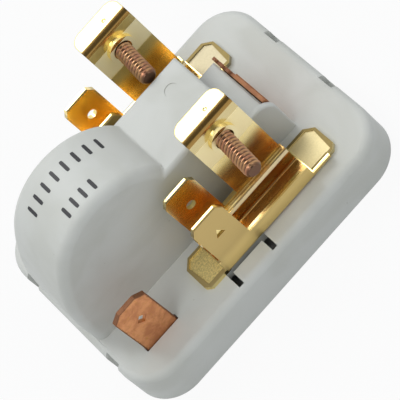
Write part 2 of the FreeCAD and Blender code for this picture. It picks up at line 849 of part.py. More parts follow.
def make_run_contact():
    pin_x, pin_y = pin_places()["run"]
    low_y = strip_y(1) - strip_width / 2
    high_y = strip_y(1) + strip_width / 2
    spring_end_x = pill_x - spring_width / 2
    foot_y0 = body_front_y + end_wall_thickness + blade_end_gap
    foot_y1 = body_back_y - blade_end_gap
    blade_x1 = blade_x + copper_sheet
    blade = box(blade_x, blade_x + blade_sheet, foot_y0, foot_y1, link_z, blade_top_z)
    hem = box(blade_x, blade_x1, foot_y0, foot_y0 + blade_hem_length, link_z, blade_top_z)
    crown = edges_where(
        hem,
        lambda edge: min(v.Point.z for v in edge.Vertexes) > blade_top_z - near
        and edge.Length > 2 * copper_sheet,
    )
    hem = hem.makeFillet(blade_edge_radius, crown)
    notches = []
    for step in blade_notch_steps:
        centre = V(blade_x - over, foot_y1 - step, blade_top_z)
        notches.append(rod(blade_notch_radius, copper_sheet + 2 * over, centre, V(1, 0, 0)))
    solids = [
        blade.cut(notches),
        hem,
        box(spring_end_x, pin_x, low_y, high_y, link_z, link_top_z),
        box(pin_x, blade_x1, pin_y - link_width / 2, pin_y + link_width / 2, link_z, link_top_z),
        box(
            leg_x - link_width / 2, leg_x + link_width / 2, pin_y, leg_y + terminal_pitch_y + link_lap,
            link_z, link_top_z,
        ),
        rod(ring_radius, copper_sheet, V(pin_x, pin_y, link_z)),
    ]
    link = fuse_all(solids)
    start_x, start_y = pin_places()["start"]
    cuts = [
        socket_hole(pin_x, pin_y),
        rod(ring_radius + link_gap, copper_sheet + 2 * over, V(start_x, start_y, link_z - over)),
        rivet_hole(1),
    ]
    return link.cut(cuts)


def make_common_link():
    pin_x, pin_y = pin_places()["common"]
    solids = [
        box(
            leg_x - link_width / 2, leg_x + link_width / 2,
            leg_y - brass_sheet - link_lap, pin_y + link_width / 2,
            link_z, link_top_z,
        ),
        box(pin_x, leg_x, pin_y - link_width / 2, pin_y + link_width / 2, link_z, link_top_z),
        rod(ring_radius, copper_sheet, V(pin_x, pin_y, link_z)),
    ]
    return fuse_all(solids).cut(socket_hole(pin_x, pin_y))


def make_socket(name):
    # A rolled sleeve, slit down one side, with a flange that sits on its link
    x, y = pin_places()[name]
    sleeve = rod(socket_outer, socket_length, V(x, y, socket_z0))
    flange = rod(flange_radius, flange_height, V(x, y, link_top_z))
    sleeve = fuse_all([sleeve, flange])
    bore = rod(socket_bore, socket_length + 2 * over, V(x, y, socket_z0 - over))
    slit = box(
        x, x + flange_radius + over, y - socket_slit / 2, y + socket_slit / 2,
        socket_z0 - over, socket_z0 + socket_length + over,
    )
    return sleeve.cut([bore, slit])


def make_socket_clip(name):
    # A spring steel band that keeps the sleeve tight on the pin
    x, y = pin_places()[name]
    z0 = link_top_z + flange_height + clip_drop
    inner = socket_outer + clip_gap
    band = rod(inner + clip_wall, clip_length, V(x, y, z0))
    bore = rod(inner, clip_length + 2 * over, V(x, y, z0 - over))
    slit = box(
        x, x + inner + clip_wall + over, y - clip_slit / 2, y + clip_slit / 2,
        z0 - over, z0 + clip_length + over,
    )
    return band.cut([bore, slit])


def make_pill():
    start = V(pill_x, body_offset_y - pill_thickness / 2, pill_z)
    pill = rod(pill_radius, pill_thickness, start, V(0, 1, 0))
    rims = edges_where(pill, lambda edge: edge.Curve.TypeId == "Part::GeomCircle")
    return pill.makeChamfer(pill_edge, rims)


def make_contact_spring(side):
    # A bowed leaf, riveted to its link, that presses on one face of the disc
    t = spring_sheet
    foot_z = link_top_z + t / 2
    face_y = body_offset_y + side * (pill_thickness / 2 + t / 2)
    wall_y = body_offset_y + side * (room_half - t / 2 - spring_wall_gap)
    points = [
        (strip_y(side) - side * strip_width / 2, foot_z),
        (wall_y, foot_z),
        (wall_y, pill_z - spring_reach),
        (face_y, pill_z - spring_touch_half),
        (face_y, pill_z + spring_touch_half),
        (wall_y, pill_z + spring_reach),
    ]
    radii = [spring_foot_bend, spring_knee_bend, spring_touch_bend, spring_touch_bend]
    leaf = folded_strip(points, radii, t, pill_x - spring_width / 2, pill_x + spring_width / 2)
    return leaf.cut(rivet_hole(side))


def make_spring_rivet(side):
    y = rivet_y(side)
    top_z = link_top_z + spring_sheet
    shank = rod(rivet_radius, top_z - link_z, V(pill_x, y, link_z))
    lower = rod(rivet_head_radius, rivet_head_height, V(pill_x, y, link_z - rivet_head_height))
    upper = rod(rivet_head_radius, rivet_head_height, V(pill_x, y, top_z))
    rivet = fuse_all([shank, lower, upper])
    crown = edges_where(rivet, lambda edge: edge.Vertexes[0].Point.z > top_z + rivet_head_height - near)
    return rivet.makeChamfer(rivet_head_chamfer, crown)


def make_parts():
    parts = {
        "housing": make_housing(),
        "bottom_cover": make_cover(),
        "line_terminal_front": make_line_terminal(0),
        "line_terminal_rear": make_line_terminal(terminal_pitch_y),
        "clamp_screw_front": make_clamp_screw(0, 0),
        "clamp_screw_rear": make_clamp_screw(terminal_pitch_y, rear_screw_back_off),
        "start_tab": make_start_tab(),
        "run_contact": make_run_contact(),
        "common_link": make_common_link(),
        "thermistor_disc": make_pill(),
        "contact_spring_front": make_contact_spring(-1),
        "contact_spring_rear": make_contact_spring(1),
        "spring_rivet_front": make_spring_rivet(-1),
        "spring_rivet_rear": make_spring_rivet(1),
    }
    for name in ("start", "run", "common"):
        parts[name + "_pin_socket"] = make_socket(name)
        parts[name + "_socket_clip"] = make_socket_clip(name)
    return parts


os.makedirs("parts", exist_ok=True)
for part_name, part_shape in make_parts().items():
    part_shape.exportStep("parts/" + part_name + ".step")
    print(part_name, len(part_shape.Solids), part_shape.isValid(), round(part_shape.Volume, 2))
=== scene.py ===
import math

import bmesh
import bpy
from mathutils import Matrix, Vector


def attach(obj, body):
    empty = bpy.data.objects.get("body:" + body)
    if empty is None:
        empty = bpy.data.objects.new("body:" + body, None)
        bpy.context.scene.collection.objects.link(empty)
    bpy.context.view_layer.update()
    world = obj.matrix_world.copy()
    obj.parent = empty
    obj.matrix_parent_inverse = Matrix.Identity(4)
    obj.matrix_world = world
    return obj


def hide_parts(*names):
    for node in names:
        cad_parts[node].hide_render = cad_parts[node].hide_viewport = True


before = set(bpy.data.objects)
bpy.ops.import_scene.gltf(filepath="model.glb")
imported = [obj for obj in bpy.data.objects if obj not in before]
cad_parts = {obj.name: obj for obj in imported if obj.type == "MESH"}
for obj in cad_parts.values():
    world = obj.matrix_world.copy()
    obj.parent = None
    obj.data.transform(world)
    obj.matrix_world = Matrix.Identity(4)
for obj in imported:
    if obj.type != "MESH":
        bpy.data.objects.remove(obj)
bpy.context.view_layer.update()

mm = 0.001  # everything below is written in millimetres and scaled once
scene = bpy.context.scene
print("frame loaded:", len(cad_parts), "nodes")


# Shader maths as plain expressions: a Wire wraps one output socket of a node
class Wire:
    def __init__(self, tree, socket):
        self.tree = tree
        self.socket = socket
        self.node = socket.node

    def maths(self, operation, first, second=None):
        values = [first] if second is None else [first, second]
        return self.tree.add("ShaderNodeMath", {"operation": operation}, dict(enumerate(values)))

    def __add__(self, other):
        return self.maths("ADD", self, other)

    def __radd__(self, other):
        return self.maths("ADD", other, self)

    def __sub__(self, other):
        return self.maths("SUBTRACT", self, other)

    def __rsub__(self, other):
        return self.maths("SUBTRACT", other, self)

    def __mul__(self, other):
        return self.maths("MULTIPLY", self, other)

    def __rmul__(self, other):
        return self.maths("MULTIPLY", other, self)

    def __gt__(self, other):
        return self.maths("GREATER_THAN", self, other)

    def __lt__(self, other):
        return self.maths("LESS_THAN", self, other)

    def __pow__(self, other):
        return self.maths("POWER", self, other)

    def __abs__(self):
        return self.maths("ABSOLUTE", self)

    def larger(self, other):
        return self.maths("MAXIMUM", self, other)


class NodeTree:
    # a node tree, with short ways to add the nodes that it is made of
    def __init__(self, tree):
        self.nodes = tree.nodes
        self.links = tree.links
        self.nodes.clear()

    def plug(self, socket, value):
        if isinstance(value, Wire):
            self.links.new(value.socket, socket)
        else:
            socket.default_value = value

    def add(self, kind, settings=None, inputs=None, output=0):
        # gives back one of the new node's outputs, or the node itself where it has none
        node = self.nodes.new(kind)
        for key, value in (settings or {}).items():
            setattr(node, key, value)
        for key, value in (inputs or {}).items():
            self.plug(node.inputs[key], value)
        return Wire(self, node.outputs[output]) if node.outputs else node

    def axes(self, vector):
        split = self.add("ShaderNodeSeparateXYZ", inputs={0: vector}).node
        return [Wire(self, socket) for socket in split.outputs]

    def rays(self, *kinds):
        # 1 for the kinds of ray that are named, 0 for all others
        seen = [self.add("ShaderNodeLightPath", output="Is %s Ray" % kind) for kind in kinds]
        most = seen[0]
        for other in seen[1:]:
            most = most.larger(other)
        return most

    def step(self, value, low, high):
        # 0 below low, 1 above high, eased between
        ease = {"interpolation_type": "SMOOTHSTEP"}
        ends = {"Value": value, "From Min": low, "From Max": high}
        return self.add("ShaderNodeMapRange", ease, ends)

    def blend(self, factor, first, second):
        sides = {"Factor": factor, "A": first, "B": second}
        return self.add("ShaderNodeMix", {"data_type": "RGBA"}, sides, output="Result")


class Finish(NodeTree):
    # one material on the principled shader
    def __init__(self, name):
        self.material = bpy.data.materials.new(name)
        self.material.use_nodes = True
        super().__init__(self.material.node_tree)
        self.place = self.add("ShaderNodeTexCoord", output="Object")
        self.normal = self.add("ShaderNodeTexCoord", output="Normal")
        self.shader = self.add("ShaderNodeBsdfPrincipled", output="BSDF")
        self.output = self.add("ShaderNodeOutputMaterial", inputs={"Surface": self.shader})

    def places(self, shiftY=0.0):
        # where a point of the surface lies, in millimetres
        x, y, z = [axis * (1 / mm) for axis in self.axes(self.place)]
        return x, y - shiftY, z

    def noise(self, scale, detail=4.0, stretch=(1, 1, 1), roughness=0.5, distortion=0.0):
        # scale is in grains per millimetre
        spread = [s * scale / mm for s in stretch]
        where = self.add("ShaderNodeVectorMath", {"operation": "MULTIPLY"}, {0: self.place, 1: spread})
        values = {
            "Vector": where, "Scale": 1.0, "Detail": detail, "Roughness": roughness,
            "Distortion": distortion,
        }
        return self.add("ShaderNodeTexNoise", inputs=values)

    def bump(self, height, distance):
        return self.add("ShaderNodeBump", inputs={"Height": height, "Distance": distance * mm})

    def set(self, **values):
        # a value's name is that of the shader's socket in camelCase
        sockets = self.shader.node.inputs
        names = {name.replace(" ", "").lower(): name for name in sockets.keys()}
        for key, value in values.items():
            self.plug(sockets[names[key.lower()]], value)
        return self.material


def rgb(red, green, blue):
    return (red, green, blue, 1.0)


def shaded(colour, share):
    return rgb(*[c * share for c in colour])


# Camera, solved from the photograph: its pixels are square and its frame is 400 by 400
photoCamera = {
    "target": (0.33, -3.77, 8.0),
    "distance": 399.3,
    "elevation": 52.69,
    "azimuth": 1.33,
    "roll": -49.34,
    "lens": 234.0,
    "sensor": 36.0,
    "clip": (10.0, 10000.0),
}


def placeCamera(setup):
    elevation = math.radians(setup["elevation"])
    azimuth = math.radians(setup["azimuth"])
    roll = math.radians(setup["roll"])
    back = Vector((
        math.sin(azimuth) * math.cos(elevation),
        -math.cos(azimuth) * math.cos(elevation),
        math.sin(elevation),
    ))
    level = Vector((math.cos(azimuth), math.sin(azimuth), 0.0))
    rise = back.cross(level)
    right = math.cos(roll) * level + math.sin(roll) * rise
    up = math.cos(roll) * rise - math.sin(roll) * level
    data = bpy.data.cameras.new("photoCamera")
    data.sensor_width = setup["sensor"]
    data.lens = setup["lens"]
    data.clip_start, data.clip_end = [end * mm for end in setup["clip"]]
    camera = bpy.data.objects.new("photoCamera", data)
    scene.collection.objects.link(camera)
    turn = Matrix((right, up, back)).transposed().to_4x4()
    stand = Vector(setup["target"]) + back * setup["distance"]
    camera.matrix_world = Matrix.Translation(stand * mm) @ turn
    scene.camera = camera


placeCamera(photoCamera)
print("camera placed")


# Studio: soft boxes in a pale room and a pale floor that keeps a faint shadow. Polished metal
# also shows the dark corner that the camera stands in and a bright patch opposite, both
# given in degrees round their direction.
studio = {
    "roomColour": (0.93, 0.96, 1.0),
    "roomStrength": 0.62,
    "nearSide": 0.80,
    "darkCorner": (0.014, -0.606, 0.795),
    "darkInner": 24.0,
    "darkOuter": 37.0,
    "darkLevel": 0.16,
    "brightPatch": (0.0, 0.606, 0.795),
    "brightInner": 12.0,
    "brightOuter": 20.0,
    "brightLevel": 0.7,
    "horizonLevel": 0.72,
    "horizonHeight": -0.10,
    "horizonFade": 0.45,
    "floorColour": (0.60, 0.61, 0.62),
    "floorRoughness": 0.9,
    "floorGlow": 0.92,
    "floorSize": 2400.0,
    "floorDrop": 0.02,
    "lampTarget": (0.0, 0.0, 10.0),
    "lamps": [
        # name, direction from the part, distance, size, watts
        ("keyBox", (-0.05, 0.606, 0.795), 620.0, 380.0, 1.45),
        ("fillBox", (0.60, -0.55, 0.60), 700.0, 360.0, 0.50),
        ("topBox", (-0.38, -0.32, 0.87), 700.0, 300.0, 1.0),
    ],
}


def buildRoom(setup):
    world = bpy.data.worlds.new("room")
    scene.world = world
    world.use_nodes = True
    room = NodeTree(world.node_tree)
    direction = room.add("ShaderNodeTexCoord", output="Generated")

    def patch(centre, inner, outer):
        # what polished metal sees: 1 within inner degrees of a direction, 0 beyond outer
        dot = {"operation": "DOT_PRODUCT"}
        towards = room.add("ShaderNodeVectorMath", dot, {0: direction, 1: centre}, output=1)
        edges = [math.cos(math.radians(angle)) for angle in (outer, inner)]
        return room.step(towards, *edges) * room.rays("Glossy")

    dark = patch(setup["darkCorner"], setup["darkInner"], setup["darkOuter"])
    bright = patch(setup["brightPatch"], setup["brightInner"], setup["brightOuter"])
    # the light on the part falls off from the far side of the room to the near one
    _, away, upwards = room.axes(direction)
    far = away * 0.5 + 0.5
    strength = (far * (1 - setup["nearSide"]) + setup["nearSide"]) * setup["roomStrength"]
    light = room.add("ShaderNodeBackground", inputs={
        "Color": rgb(*setup["roomColour"]), "Strength": strength,
    })
    # in polished metal the walls also darken towards the horizon
    height = abs(upwards - setup["horizonHeight"])
    walls = (1 - room.step(height, 0.0, setup["horizonFade"])) * room.rays("Glossy")
    shade = (dark * (1 - setup["darkLevel"])).larger(walls * (1 - setup["horizonLevel"]))
    seenLevel = 1.0 + bright * setup["brightLevel"] - shade
    seen = room.add("ShaderNodeBackground", inputs={"Color": rgb(1, 1, 1), "Strength": seenLevel})
    mix = room.add("ShaderNodeMixShader", inputs={
        0: room.rays("Camera", "Glossy", "Transmission"), 1: light, 2: seen,
    })
    room.add("ShaderNodeOutputWorld", inputs={"Surface": mix})


def buildFloor(setup):
    floor = Finish("paleFloor")
    floor.set(baseColor=rgb(*setup["floorColour"]), roughness=setup["floorRoughness"])
    glow = floor.add("ShaderNodeEmission", inputs={"Color": rgb(1, 1, 1), "Strength": 1.0})
    mix = floor.add("ShaderNodeMixShader", inputs={
        0: floor.rays("Camera", "Glossy") * setup["floorGlow"], 1: floor.shader, 2: glow,
    })
    floor.plug(floor.output.inputs["Surface"], mix)
    mesh = bpy.data.meshes.new("floor")
    work = bmesh.new()
    bmesh.ops.create_grid(work, x_segments=1, y_segments=1, size=setup["floorSize"] / 2 * mm)
    bmesh.ops.translate(work, verts=work.verts, vec=(0, 0, -setup["floorDrop"] * mm))
    work.to_mesh(mesh)
    work.free()
    mesh.materials.append(floor.material)
    piece = bpy.data.objects.new("floor", mesh)
    scene.collection.objects.link(piece)


def buildLamps(setup):
    target = Vector(setup["lampTarget"]) * mm
    for name, direction, distance, size, watts in setup["lamps"]:
        data = bpy.data.lights.new(name, "AREA")
        data.shape = "DISK"
        data.size = size * mm
        data.energy = watts
        lamp = bpy.data.objects.new(name, data)
        scene.collection.objects.link(lamp)
        away = Vector(direction).normalized()
        lamp.location = target + away * distance * mm
        lamp.rotation_euler = away.to_track_quat("Z", "Y").to_euler()


buildRoom(studio)
buildFloor(studio)
buildLamps(studio)
scene.view_settings.view_transform = "Standard"
print("studio built")


# In the looks below, a noise is given as grains per millimetre, detail, stretch, roughness and
# distortion, the edges of a mask as the noise values where it starts and is full, and dulls
# says how much a noise adds to the roughness.

# Moulded housing plastic: light cool grey with a spark-eroded grain and faint flow marks
housingPlastic = {
    "colour": (0.590, 0.602, 0.570),
    "flowColour": (0.545, 0.555, 0.515),
    "flow": (0.07, 3.0, (1, 1, 1.6), 0.5, 0.6),
    "flowEdges": (0.42, 0.68),
    "flowDulls": 0.06,
    "speckColour": (0.20, 0.17, 0.12),
    "speck": (1.1, 1.0),
    "speckEdges": (0.79, 0.83),
    "speckAmount": 0.25,
    "roughness": 0.48,
    "sheen": 0.3,
    "grain": (3.2, 2.0),
    "grainDulls": 0.08,
    "grainDepth": 0.012,
}


def makeHousingPlastic(name, look):
    plastic = Finish(name)
    flow = plastic.step(plastic.noise(*look["flow"]), *look["flowEdges"])
    grain = plastic.noise(*look["grain"])
    speck = plastic.step(plastic.noise(*look["speck"]), *look["speckEdges"])
    colour = plastic.blend(flow, rgb(*look["colour"]), rgb(*look["flowColour"]))
    colour = plastic.blend(speck * look["speckAmount"], colour, rgb(*look["speckColour"]))
    return plastic.set(
        baseColor=colour,
        roughness=look["roughness"] + flow * look["flowDulls"] + grain * look["grainDulls"],
        normal=plastic.bump(grain, look["grainDepth"]),
        specularIorLevel=look["sheen"],
    )


# Rolled brass: polished gold with rolling streaks and tarnish
brassSheet = {
    "gold": (0.90, 0.76, 0.37),
    "deepGold": (0.86, 0.69, 0.28),
    "cloud": (0.22, 4.0, (1, 1, 1), 0.6, 0.8),
    "cloudEdges": (0.35, 0.70),
    "cloudDulls": 0.06,
    "streak": (2.6, 2.0, (0.12, 1, 1)),
    "streakDulls": 0.08,
    "tarnish": (0.30, 0.14, 0.03),
    "spots": (0.9, 4.0, (1, 1, 1), 0.7),
    "spotEdges": (0.63, 0.74),
    "spotAmount": 0.35,
    "polished": 0.13,
    "depth": 0.0018,
}
# The line terminals' brass. The front wall stays as rolled, the tray and the foot of the tower
# have stain patches and painted dark reflection, the two tongues are etched to a pale mottle
# inside a rim, and the tower has a painted reflection: a paler band across the screw.
terminalBrass = {
    **brassSheet,
    "tan": (0.54, 0.40, 0.16),
    "tanWall": (0.80, 0.61, 0.25),
    "dull": 0.34,
    # stain patches and painted dark reflection, over the tray and the foot of the tower
    "stainAndShade": (0.58, 0.27, 0.07),
    "patches": (0.35, 2.0, (0.6, 1, 1), 0.45),
    "patchEdges": (0.38, 0.62),
    "patchAmount": (0.3, 0.6),
    "patchDulls": 0.10,
    # painted shade in the tray
    "trayShade": (0.40, 0.17, 0.04),
    "trayAmount": 0.6,
    # painted highlight along the fold of the tray, largely unmetalled
    "foldHighlight": (1.0, 0.84, 0.50),
    "foldHighlightMatte": 0.9,
    "rim": (0.22, 0.17, 0.07),
    "leftRim": (0.42, 0.33, 0.15),
    "lip": (0.82, 0.67, 0.34),
    "leftTongue": (0.88, 0.73, 0.33),
    "rightTongue": (0.68, 0.59, 0.34),
    "tongueGrain": 0.72,
    "mottle": (3.4, 3.0, (1, 1, 1), 0.65),
    "mottleEdges": (0.38, 0.64),
    "rightSmooths": 0.75,
    "mottleDepth": 0.8,
    "matte": 0.50,
    # painted shade along the flap's outline
    "flapEdgeShade": (0.115, 0.10, 0.06),
    # painted dark reflection along the bend into the flap
    "bend": (0.38, 0.23, 0.07),
    # painted reflection: the olive zone on the tower above the band
    "olive": (0.60, 0.50, 0.27),
    "oliveAmount": 0.8,
    # painted reflection: the pale band across the tower, made partly unmetalled
    "bandReflection": (0.98, 0.86, 0.50),
    "bandDulls": 0.25,
    "bandReflectionMatte": 0.24,
}
# the rear sheet is yellower, its painted reflection band is paler and its tongue is greyer
rearBrass = {
    **terminalBrass,
    "gold": (0.96, 0.80, 0.36),
    "deepGold": (0.94, 0.74, 0.28),
    "stainAndShade": (0.72, 0.51, 0.18),
    "trayShade": (0.66, 0.42, 0.14),
    "bandReflection": (1.0, 0.91, 0.58),
    "olive": (0.80, 0.62, 0.26),
    "bandReflectionMatte": 0.55,
    "rightTongue": (0.46, 0.41, 0.28),
}
# The front terminal's zones in millimetres, a pair for a zone's two ends. The rear terminal lies
# rearShift further back.
terminalShape = {
    "outsideY": -16.75,
    "wallTop": (10.0, 12.5),
    "tray": (-4.7, 14.8),
    "stainTop": (9.0, 17.5),
    "trayTop": (9.5, 10.7),
    "foldY": (-12.2, -11.74),
    "foldZ": (10.45, 11.2),
    "foldFrontY": -12.1,
    "tongues": (-4.9, 15.0),
    "tonguesFromY": -16.55,
    "tongueFloorZ": 8.1,
    "tongueTopZ": 9.2,
    "rightFromX": 4.9,
    "towerFromY": -11.95,
    "bandLow": (20.1, 20.8),
    "bandTop": 25.6,
    "oliveLow": (25.4, 25.8),
    "bandWave": 0.8,
    "bendLow": 27.4,
    "bendToY": -9.95,
    "flapLow": 27.8,
    "flapFromY": -10.95,
    "flapMiddleX": 9.775,
    "flapHalf": 4.775,
    "flapEndY": -6.85,
    "flapCorner": 1.9,
    "flapEdgeShade": (-0.34, -0.02),
}
rearShift = 26.15
# how far a surface's normal has to point one way: up for a level one, or towards a side
levelEdges = (0.88, 0.97)
facingEdges = (0.4, 0.8)


def rolledSheet(brass, look):
    # the plain sheet's tone, roughness and height, and the clouds in it
    streak = brass.noise(*look["streak"])
    cloud = brass.noise(*look["cloud"])
    clouded = brass.step(cloud, *look["cloudEdges"])
    tone = brass.blend(clouded, rgb(*look["gold"]), rgb(*look["deepGold"]))
    spots = brass.step(brass.noise(*look["spots"]), *look["spotEdges"])
    tone = brass.blend(spots * look["spotAmount"], tone, rgb(*look["tarnish"]))
    roughness = look["polished"] + streak * look["streakDulls"] + cloud * look["cloudDulls"]
    return tone, roughness, (streak + cloud) * 0.5, cloud


def makeBrass(name, look):
    brass = Finish(name)
    tone, roughness, height, _ = rolledSheet(brass, look)
    return brass.set(
        baseColor=tone, metallic=1.0, roughness=roughness, normal=brass.bump(height, look["depth"]),
    )


def terminalZones(brass, place, shiftY, wave):
    # masks over a line terminal, each 1 in its own zone
    x, y, z = brass.places(shiftY)
    normal = brass.axes(brass.normal)
    outside = y < place["outsideY"]
    overTray = (x > place["tray"][0]) * (x < place["tray"][1])
    inside = overTray * (1 - outside)
    # where the tray's painted shade lies
    inTray = inside * (1 - brass.step(z, *place["trayTop"])) * (y < place["foldFrontY"])
    # where the painted highlight of the fold lies
    fold = overTray * (y > place["foldY"][0]) * (y < place["foldY"][1])
    fold = fold * (z > place["foldZ"][0]) * (z < place["foldZ"][1])
    tongues = ((x < place["tongues"][0]) + (x > place["tongues"][1])) * (y > place["tonguesFromY"])
    onRight = x > place["rightFromX"]
    facing = brass.step(normal[1] * -1.0, *facingEdges)
    tower = onRight * (y > place["towerFromY"]) * facing
    # where the painted reflection band lies, on the tower's front face
    band = brass.step(z + wave, *place["bandLow"]) * (z < place["bandTop"]) * tower
    # where the painted olive reflection lies
    olive = brass.step(z + wave, *place["oliveLow"]) * (z < place["bendLow"]) * tower
    # where the painted dark reflection of the bend lies
    bend = (z > place["bendLow"]) * (y < place["bendToY"]) * onRight
    # the flap's outline, with its two round corners, along which painted shade darkens the flap
    corner = place["flapCorner"]
    inX = (abs(x - place["flapMiddleX"]) - (place["flapHalf"] - corner)).larger(0.0)
    inY = (y - (place["flapEndY"] - corner)).larger(0.0)
    toEdge = (inX * inX + inY * inY) ** 0.5 - corner
    onFlap = (z > place["flapLow"]) * (y > place["flapFromY"])
    return {
        "outside": outside,
        "tab": brass.step(z, *place["wallTop"]),
        # stain patches and painted dark reflection, low on the sheet inside the front wall
        "stainedAndShaded": inside * (1 - brass.step(z, *place["stainTop"])),
        "inTray": inTray,
        "fold": fold,
        "tongues": tongues * (z < place["tongueTopZ"]),
        "tongueFloors": tongues * (z < place["tongueFloorZ"]),
        "level": brass.step(normal[2], *levelEdges),
        "onRight": onRight,
        "band": band,
        "olive": olive,
        "bend": bend,
        "flapEdgeShade": onFlap * brass.step(toEdge, *place["flapEdgeShade"]),
    }


def makeTerminalBrass(name, look, place, shiftY):
    brass = Finish(name)
    tone, roughness, height, cloud = rolledSheet(brass, look)
    zone = terminalZones(brass, place, shiftY, (cloud - 0.5) * place["bandWave"])

    def colour(key, share=1.0):
        return shaded(look[key], share)

    tone = brass.blend(zone["outside"], tone, brass.blend(zone["tab"], colour("tanWall"), colour("tan")))
    patches = brass.step(brass.noise(*look["patches"]), *look["patchEdges"])
    least, more = look["patchAmount"]
    # stain patches and painted dark reflection over the tray and the foot of the tower
    tone = brass.blend(zone["stainedAndShaded"] * (patches * more + least), tone, colour("stainAndShade"))
    # painted shade in the tray
    tone = brass.blend(zone["inTray"] * look["trayAmount"], tone, colour("trayShade"))
    # the left tongue is grained, the right one nearly smooth
    rim = brass.blend(zone["onRight"], colour("leftRim"), colour("rim"))
    tone = brass.blend(zone["tongues"], tone, brass.blend(zone["level"], colour("lip"), rim))
    mottle = brass.step(brass.noise(*look["mottle"]), *look["mottleEdges"])
    mottle = mottle * (1 - zone["onRight"] * look["rightSmooths"])
    etched, grained = [
        brass.blend(zone["onRight"], colour("leftTongue", share), colour("rightTongue", share))
        for share in (1.0, look["tongueGrain"])
    ]
    tone = brass.blend(zone["tongueFloors"], tone, brass.blend(mottle, etched, grained))
    # painted shade along the flap's outline
    tone = brass.blend(zone["flapEdgeShade"], tone, colour("flapEdgeShade"))
    # painted dark reflection along the bend into the flap
    tone = brass.blend(zone["bend"], tone, colour("bend"))
    # painted reflection, olive, above the band
    tone = brass.blend(zone["olive"] * look["oliveAmount"], tone, colour("olive"))
    # painted reflection: a pale band across the screw
    tone = brass.blend(zone["band"], tone, colour("bandReflection"))
    # painted highlight along the fold
    tone = brass.blend(zone["fold"], tone, colour("foldHighlight"))
    roughness = roughness + zone["stainedAndShaded"] * patches * look["patchDulls"]
    roughness = roughness + zone["outside"] * (look["dull"] - look["polished"])
    roughness = roughness + zone["tongues"] * (look["matte"] - look["polished"])
    roughness = roughness + zone["band"] * look["bandDulls"]
    height = height + zone["tongueFloors"] * mottle * look["mottleDepth"]
    # the painted reflection band and the painted fold highlight are made less metallic
    metal = 1 - zone["band"] * look["bandReflectionMatte"] - zone["fold"] * look["foldHighlightMatte"]
    return brass.set(
        baseColor=tone, metallic=metal, roughness=roughness, normal=brass.bump(height, look["depth"]),
    )


# A sheared edge of the brass sheet, dull and darker than its faces
cutEdge = {
    "colour": (0.20, 0.145, 0.06),
    "tear": (4.0, 3.0, (1, 1, 1), 0.6),
    "tornShade": 0.7,
    "tearDulls": 0.1,
    "depth": 0.006,
    "roughness": 0.34,
}


def makeCutEdge(name, look):
    edge = Finish(name)
    tear = edge.noise(*look["tear"])
    return edge.set(
        baseColor=edge.blend(tear, rgb(*look["colour"]), shaded(look["colour"], look["tornShade"])),
        metallic=1.0,
        roughness=look["roughness"] + tear * look["tearDulls"],
        normal=edge.bump(tear, look["depth"]),
    )


# Copper strip: dull and mottled, dark along its cut outline and at its clipped corners
copperStrip = {
    "colour": (0.72, 0.36, 0.17),
    "rubbed": (0.56, 0.25, 0.12),
    "cloud": (0.45, 4.0, (1, 1, 1), 0.65, 0.5),
    "cloudEdges": (0.38, 0.66),
    "cloudDulls": 0.15,
    "ochre": (0.62, 0.33, 0.09),
    "fine": (1.6, 4.0, (1, 1, 1), 0.7),
    "fineEdges": (0.50, 0.72),
    "fineAmount": 0.6,
    "grain": (6.0, 2.0, (1, 1, 0.15)),
    "grainDulls": 0.06,
    "depth": 0.008,
    "edge": (0.16, 0.075, 0.045),
    "roughness": 0.50,
}
# the start tab's outline in millimetres: centre, half width, top and its clipped corners
startTabShape = {
    "centreX": -18.5,
    "half": 3.3,
    "top": 18.7,
    "clipX": 1.6,
    "clipZ": 1.1,
    "margin": 0.22,
    "cornerMargin": 0.33,
    "edge": (-0.10, 0.16),
    "wave": 0.5,
    "amount": 0.85,
}
# the run contact's thin rear half is darker than its folded front half, and its cut top darkest
runBladeShape = {"thinFromY": 0.9, "darkness": 0.35, "thinAdds": 0.12, "topAdds": 0.47}


def outlineOfTab(copper, tab, wave):
    # how much of the edge tone lies along the tab's sides, top and clipped corners
    x, _, z = copper.places()
    across = abs(x - tab["centreX"])
    fromSide = across - (tab["half"] - tab["margin"])
    fromTop = z - (tab["top"] - tab["margin"])
    slope = tab["clipZ"] / tab["clipX"]
    fromCorner = (across - (tab["half"] - tab["clipX"])) * slope + z - (tab["top"] - tab["cornerMargin"])
    near = fromSide.larger(fromCorner).larger(fromTop) + wave
    return copper.step(near, *tab["edge"]) * tab["amount"]


def darkOfBlade(copper, blade):
    # how much of the edge tone each part of the blade takes
    y = copper.places()[1]
    top = copper.step(copper.axes(copper.normal)[2], *facingEdges)
    return (y > blade["thinFromY"]) * blade["thinAdds"] + top * blade["topAdds"] + blade["darkness"]


def makeCopper(name, look, tab=None, blade=None):
    copper = Finish(name)
    cloud = copper.noise(*look["cloud"])
    fine = copper.noise(*look["fine"])
    grain = copper.noise(*look["grain"])
    colour = copper.blend(
        copper.step(cloud, *look["cloudEdges"]), rgb(*look["colour"]), rgb(*look["rubbed"]),
    )
    ochre = copper.step(fine, *look["fineEdges"]) * look["fineAmount"]
    colour = copper.blend(ochre, colour, rgb(*look["ochre"]))
    if tab:
        outline = outlineOfTab(copper, tab, (fine - 0.5) * tab["wave"])
        colour = copper.blend(outline, colour, rgb(*look["edge"]))
    if blade:
        colour = copper.blend(darkOfBlade(copper, blade), colour, rgb(*look["edge"]))
    return copper.set(
        baseColor=colour,
        metallic=1.0,
        roughness=look["roughness"] + cloud * look["cloudDulls"] + grain * look["grainDulls"],
        normal=copper.bump(grain, look["depth"]),
    )


